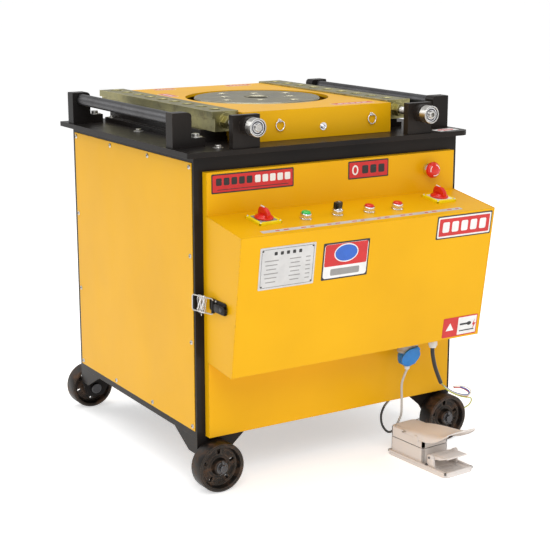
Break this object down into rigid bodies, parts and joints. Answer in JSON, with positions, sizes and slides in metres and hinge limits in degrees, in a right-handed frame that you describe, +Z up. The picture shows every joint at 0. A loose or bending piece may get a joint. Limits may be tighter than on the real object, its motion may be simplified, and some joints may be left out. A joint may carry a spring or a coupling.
{
  "type": "rebar bending machine",
  "caption": "Cabinet-type bar bending machine with a holed turntable, screw-adjusted pin rails, side rollers, sloping door console, wheels and a corded foot switch.",
  "frame": {"origin": "bottom centre of the machine's box on the floor, without the foot switch and the cords", "axes": "+Z up, +X to the operator's right, -Y to the front (door and console side)"},
  "size_m": [0.8499, 0.9929, 0.8801],
  "materials": {
    "black_enamel": "gloss",
    "yellow_paint": "gloss",
    "bright_steel": "satin",
    "chrome": "polished",
    "disc_steel": "turned",
    "zinc_steel": "yellow zinc, worn",
    "dark_roller": "turned, dark",
    "wheel_iron": "rusty",
    "motor_grey": "satin",
    "belt_rubber": "matte",
    "red_plastic": "gloss",
    "green_plastic": "gloss",
    "black_plastic": "gloss",
    "label_sheet": "satin",
    "grey_plastic": "matte",
    "blue_plastic": "satin",
    "cast_grey": "as cast",
    "cord_grey": "matte",
    "cord_black": "matte",
    "core_red": "matte"
  },
  "bodies": {
    "base": {"cabinet_frame": "black_enamel", "wheel_brackets": "black_enamel", "table_plate": "black_enamel", "left_panel": "yellow_paint", "right_panel": "yellow_paint", "back_panel": "yellow_paint", "panel_screws": "bright_steel", "head_box": "yellow_paint", "head_fittings": "bright_steel", "gearbox_case": "yellow_paint", "drive_motor": "motor_grey", "v_belts": "belt_rubber", "motor_shelf": "black_enamel", "rail_guides": "black_enamel", "screw_housings": "black_enamel", "screw_bearings": "bright_steel", "roller_brackets": "black_enamel", "plate_bolts": "bright_steel", "axles": "bright_steel", "frame_hinges": "black_enamel", "latch_keeper": "black_enamel"},
    "turntable_body": {"turntable": "disc_steel", "main_shaft": "bright_steel"},
    "worm_body": {"worm_shaft": "bright_steel"},
    "motor_rotor": {"motor_pulley": "bright_steel"},
    "left_rail_body": {"left_pin_rail": "zinc_steel"},
    "right_rail_body": {"right_pin_rail": "zinc_steel"},
    "left_screw_body": {"left_lead_screw": "bright_steel"},
    "right_screw_body": {"right_lead_screw": "bright_steel"},
    "left_roller_body": {"left_roller": "dark_roller"},
    "right_roller_body": {"right_roller": "dark_roller"},
    "front_left_wheel_body": {"front_left_wheel": "wheel_iron"},
    "front_right_wheel_body": {"front_right_wheel": "wheel_iron"},
    "rear_left_wheel_body": {"rear_left_wheel": "wheel_iron"},
    "rear_right_wheel_body": {"rear_right_wheel": "wheel_iron"},
    "left_ring_body": {"left_pull_ring": "bright_steel"},
    "right_ring_body": {"right_pull_ring": "bright_steel"},
    "door_body": {"door": "yellow_paint", "door_hinges": "black_enamel", "latch_base": "black_enamel", "console_box": "yellow_paint", "switch_bases": "yellow_paint", "bezels": "chrome", "label_plates": "label_sheet", "pedal_socket": "grey_plastic", "pedal_plug": "blue_plastic", "foot_base": "cast_grey", "foot_housing": "cast_grey", "pedal_cord": "cord_grey", "power_sheath": "cord_black", "power_cores": "core_red"},
    "latch_bail_body": {"latch_bail": "bright_steel"},
    "left_switch_body": {"left_switch_handle": "red_plastic"},
    "right_switch_body": {"right_switch_handle": "red_plastic"},
    "green_button_body": {"green_button": "green_plastic"},
    "red_button_body": {"red_button": "red_plastic"},
    "second_red_button_body": {"second_red_button": "red_plastic"},
    "selector_body": {"selector_knob": "black_plastic"},
    "emergency_stop_body": {"emergency_stop": "red_plastic"},
    "foot_pedal_body": {"foot_pedal": "cast_grey"}
  },
  "joints": [
    {"name": "turntable_spin", "type": "hinge", "parent": "base", "child": "turntable_body", "pos_m": [0.006, 0.081, 0.872], "axis": [0, 0, 1], "continuous": true},
    {"name": "worm_spin", "type": "hinge", "parent": "base", "child": "worm_body", "pos_m": [0, 0.206, 0.7], "axis": [1, 0, 0], "continuous": true},
    {"name": "motor_spin", "type": "hinge", "parent": "base", "child": "motor_rotor", "pos_m": [0, 0.206, 0.272], "axis": [1, 0, 0], "continuous": true},
    {"name": "left_rail_slide", "type": "slide", "parent": "base", "child": "left_rail_body", "axis": [0, 1, 0], "range_m": [-0.012, 0.028]},
    {"name": "left_screw_turn", "type": "hinge", "parent": "base", "child": "left_screw_body", "pos_m": [-0.244, -0.244, 0.8515], "axis": [0, 1, 0], "range_deg": [-2600, 1200]},
    {"name": "right_rail_slide", "type": "slide", "parent": "base", "child": "right_rail_body", "axis": [0, 1, 0], "range_m": [-0.012, 0.028]},
    {"name": "right_screw_turn", "type": "hinge", "parent": "base", "child": "right_screw_body", "pos_m": [0.244, -0.244, 0.8515], "axis": [0, 1, 0], "range_deg": [-2600, 1200]},
    {"name": "left_roller_spin", "type": "hinge", "parent": "base", "child": "left_roller_body", "pos_m": [-0.37, 0.076, 0.862], "axis": [0, 1, 0], "continuous": true},
    {"name": "right_roller_spin", "type": "hinge", "parent": "base", "child": "right_roller_body", "pos_m": [0.37, 0.076, 0.862], "axis": [0, 1, 0], "continuous": true},
    {"name": "front_left_wheel_spin", "type": "hinge", "parent": "base", "child": "front_left_wheel_body", "pos_m": [-0.335, -0.304, 0.06], "axis": [0, 1, 0], "continuous": true},
    {"name": "front_right_wheel_spin", "type": "hinge", "parent": "base", "child": "front_right_wheel_body", "pos_m": [0.335, -0.304, 0.06], "axis": [0, 1, 0], "continuous": true},
    {"name": "rear_left_wheel_spin", "type": "hinge", "parent": "base", "child": "rear_left_wheel_body", "pos_m": [-0.335, 0.425, 0.06], "axis": [0, 1, 0], "continuous": true},
    {"name": "rear_right_wheel_spin", "type": "hinge", "parent": "base", "child": "rear_right_wheel_body", "pos_m": [0.335, 0.425, 0.06], "axis": [0, 1, 0], "continuous": true},
    {"name": "left_ring_swing", "type": "hinge", "parent": "base", "child": "left_ring_body", "pos_m": [-0.112, -0.223, 0.847], "axis": [1, 0, 0], "range_deg": [-120, 0]},
    {"name": "right_ring_swing", "type": "hinge", "parent": "base", "child": "right_ring_body", "pos_m": [0.153, -0.223, 0.847], "axis": [1, 0, 0], "range_deg": [-120, 0]},
    {"name": "door_swing", "type": "hinge", "parent": "base", "child": "door_body", "pos_m": [0.357, -0.285, 0.44], "axis": [0, 0, 1], "range_deg": [0, 105]},
    {"name": "latch_bail_swing", "type": "hinge", "parent": "door_body", "child": "latch_bail_body", "pos_m": [-0.363, -0.34, 0.456], "axis": [0, 0, 1], "range_deg": [0, 100]},
    {"name": "left_switch_turn", "type": "hinge", "parent": "door_body", "child": "left_switch_body", "pos_m": [-0.242, -0.361, 0.64494], "axis": [0, -0.1523, 0.9883], "range_deg": [-90, 0]},
    {"name": "right_switch_turn", "type": "hinge", "parent": "door_body", "child": "right_switch_body", "pos_m": [0.263, -0.354, 0.64601], "axis": [0, -0.1523, 0.9883], "range_deg": [-90, 0]},
    {"name": "green_button_press", "type": "slide", "parent": "door_body", "child": "green_button_body", "axis": [0, -0.1523, 0.9883], "range_m": [-0.002, 0], "stiffness_N_per_m": 400},
    {"name": "red_button_press", "type": "slide", "parent": "door_body", "child": "red_button_body", "axis": [0, -0.1523, 0.9883], "range_m": [-0.002, 0], "stiffness_N_per_m": 400},
    {"name": "second_red_button_press", "type": "slide", "parent": "door_body", "child": "second_red_button_body", "axis": [0, -0.1523, 0.9883], "range_m": [-0.002, 0], "stiffness_N_per_m": 400},
    {"name": "selector_turn", "type": "hinge", "parent": "door_body", "child": "selector_body", "pos_m": [-0.054, -0.378, 0.64231], "axis": [0, -0.1523, 0.9883], "range_deg": [-45, 45]},
    {"name": "emergency_stop_press", "type": "slide", "parent": "door_body", "child": "emergency_stop_body", "axis": [0, 1, 0], "range_m": [0, 0.0035], "stiffness_N_per_m": 900},
    {"name": "foot_pedal_press", "type": "hinge", "parent": "door_body", "child": "foot_pedal_body", "pos_m": [0.20121, -0.47389, 0.036], "axis": [0.9976, 0.0698, 0], "range_deg": [0, 12], "stiffness_Nm_per_rad": 3, "springref_deg": -5.73}
  ],
  "couplings": [
    {"joint": "worm_spin", "follows": "turntable_spin", "ratio": 40},
    {"joint": "motor_spin", "follows": "turntable_spin", "ratio": 66.667},
    {"joint": "left_screw_turn", "follows": "left_rail_slide", "rad_per_m": -1570.8},
    {"joint": "right_screw_turn", "follows": "right_rail_slide", "rad_per_m": -1570.8}
  ]
}
